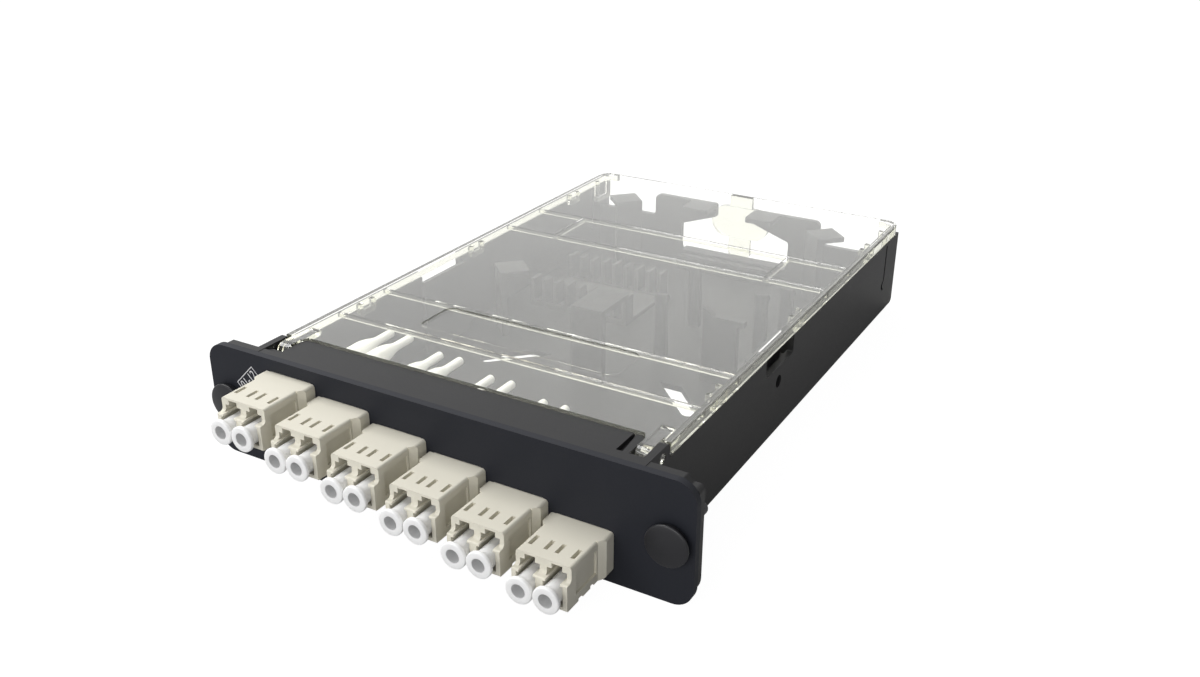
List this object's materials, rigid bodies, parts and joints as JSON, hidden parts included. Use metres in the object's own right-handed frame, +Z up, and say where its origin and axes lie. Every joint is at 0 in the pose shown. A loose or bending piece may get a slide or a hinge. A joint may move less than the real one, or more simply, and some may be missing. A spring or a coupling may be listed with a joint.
{
  "type": "fibre splice and patch cassette",
  "caption": "Slim fibre cassette: stepped row of capped duplex adapters in a painted plate, black tray with splice comb, clear hinged lid and push-pull plungers.",
  "frame": {"origin": "middle of the whole assembly across and front to rear, on the plane of the front plate's lower edge", "axes": "+X to the right seen from the front, +Y from the ports to the rear cable entry, +Z up through the lid"},
  "size_m": [0.1296, 0.189, 0.0289],
  "materials": {
    "plate_paint": "satin",
    "case_plastic": "matte",
    "lid_clear": "clear",
    "adapter_plastic": "satin",
    "cap_plastic": "gloss",
    "plug_plastic": "satin",
    "boot_rubber": "satin",
    "ceramic": "polished",
    "plunger_plastic": "gloss",
    "grommet_plastic": "matte",
    "comb_plastic": "matte"
  },
  "bodies": {
    "cassette": {"faceplate": "plate_paint", "case": "case_plastic", "splice_holder": "comb_plastic", "adapter_1": "adapter_plastic", "adapter_2": "adapter_plastic", "adapter_3": "adapter_plastic", "adapter_4": "adapter_plastic", "adapter_5": "adapter_plastic", "adapter_6": "adapter_plastic", "connector_01": "plug_plastic", "connector_02": "plug_plastic", "connector_03": "plug_plastic", "connector_04": "plug_plastic", "connector_05": "plug_plastic", "connector_06": "plug_plastic", "connector_07": "plug_plastic", "connector_08": "plug_plastic", "connector_09": "plug_plastic", "connector_10": "plug_plastic", "connector_11": "plug_plastic", "connector_12": "plug_plastic", "boot_01": "boot_rubber", "boot_02": "boot_rubber", "boot_03": "boot_rubber", "boot_04": "boot_rubber", "boot_05": "boot_rubber", "boot_06": "boot_rubber", "boot_07": "boot_rubber", "boot_08": "boot_rubber", "boot_09": "boot_rubber", "boot_10": "boot_rubber", "boot_11": "boot_rubber", "boot_12": "boot_rubber", "alignment_sleeves": "ceramic", "ferrules": "ceramic", "grommet_left": "grommet_plastic", "grommet_right": "grommet_plastic"},
    "lid": {"lid": "lid_clear"},
    "plunger_left": {"plunger_left": "plunger_plastic"},
    "plunger_right": {"plunger_right": "plunger_plastic"},
    "dust_cap_01": {"dust_cap_01": "cap_plastic"},
    "dust_cap_02": {"dust_cap_02": "cap_plastic"},
    "dust_cap_03": {"dust_cap_03": "cap_plastic"},
    "dust_cap_04": {"dust_cap_04": "cap_plastic"},
    "dust_cap_05": {"dust_cap_05": "cap_plastic"},
    "dust_cap_06": {"dust_cap_06": "cap_plastic"},
    "dust_cap_07": {"dust_cap_07": "cap_plastic"},
    "dust_cap_08": {"dust_cap_08": "cap_plastic"},
    "dust_cap_09": {"dust_cap_09": "cap_plastic"},
    "dust_cap_10": {"dust_cap_10": "cap_plastic"},
    "dust_cap_11": {"dust_cap_11": "cap_plastic"},
    "dust_cap_12": {"dust_cap_12": "cap_plastic"}
  },
  "joints": [
    {"name": "lid_hinge", "type": "hinge", "parent": "cassette", "child": "lid", "pos_m": [0, -0.06565, 0.0263], "axis": [1, 0, 0], "range_deg": [0, 105]},
    {"name": "plunger_left_pull", "type": "slide", "parent": "cassette", "child": "plunger_left", "axis": [0, -1, 0], "range_m": [0, 0.006]},
    {"name": "plunger_right_pull", "type": "slide", "parent": "cassette", "child": "plunger_right", "axis": [0, -1, 0], "range_m": [0, 0.006]},
    {"name": "dust_cap_01_pull", "type": "slide", "parent": "cassette", "child": "dust_cap_01", "axis": [0, -1, 0], "range_m": [0, 0.012]},
    {"name": "dust_cap_02_pull", "type": "slide", "parent": "cassette", "child": "dust_cap_02", "axis": [0, -1, 0], "range_m": [0, 0.012]},
    {"name": "dust_cap_03_pull", "type": "slide", "parent": "cassette", "child": "dust_cap_03", "axis": [0, -1, 0], "range_m": [0, 0.012]},
    {"name": "dust_cap_04_pull", "type": "slide", "parent": "cassette", "child": "dust_cap_04", "axis": [0, -1, 0], "range_m": [0, 0.012]},
    {"name": "dust_cap_05_pull", "type": "slide", "parent": "cassette", "child": "dust_cap_05", "axis": [0, -1, 0], "range_m": [0, 0.012]},
    {"name": "dust_cap_06_pull", "type": "slide", "parent": "cassette", "child": "dust_cap_06", "axis": [0, -1, 0], "range_m": [0, 0.012]},
    {"name": "dust_cap_07_pull", "type": "slide", "parent": "cassette", "child": "dust_cap_07", "axis": [0, -1, 0], "range_m": [0, 0.012]},
    {"name": "dust_cap_08_pull", "type": "slide", "parent": "cassette", "child": "dust_cap_08", "axis": [0, -1, 0], "range_m": [0, 0.012]},
    {"name": "dust_cap_09_pull", "type": "slide", "parent": "cassette", "child": "dust_cap_09", "axis": [0, -1, 0], "range_m": [0, 0.012]},
    {"name": "dust_cap_10_pull", "type": "slide", "parent": "cassette", "child": "dust_cap_10", "axis": [0, -1, 0], "range_m": [0, 0.012]},
    {"name": "dust_cap_11_pull", "type": "slide", "parent": "cassette", "child": "dust_cap_11", "axis": [0, -1, 0], "range_m": [0, 0.012]},
    {"name": "dust_cap_12_pull", "type": "slide", "parent": "cassette", "child": "dust_cap_12", "axis": [0, -1, 0], "range_m": [0, 0.012]}
  ]
}
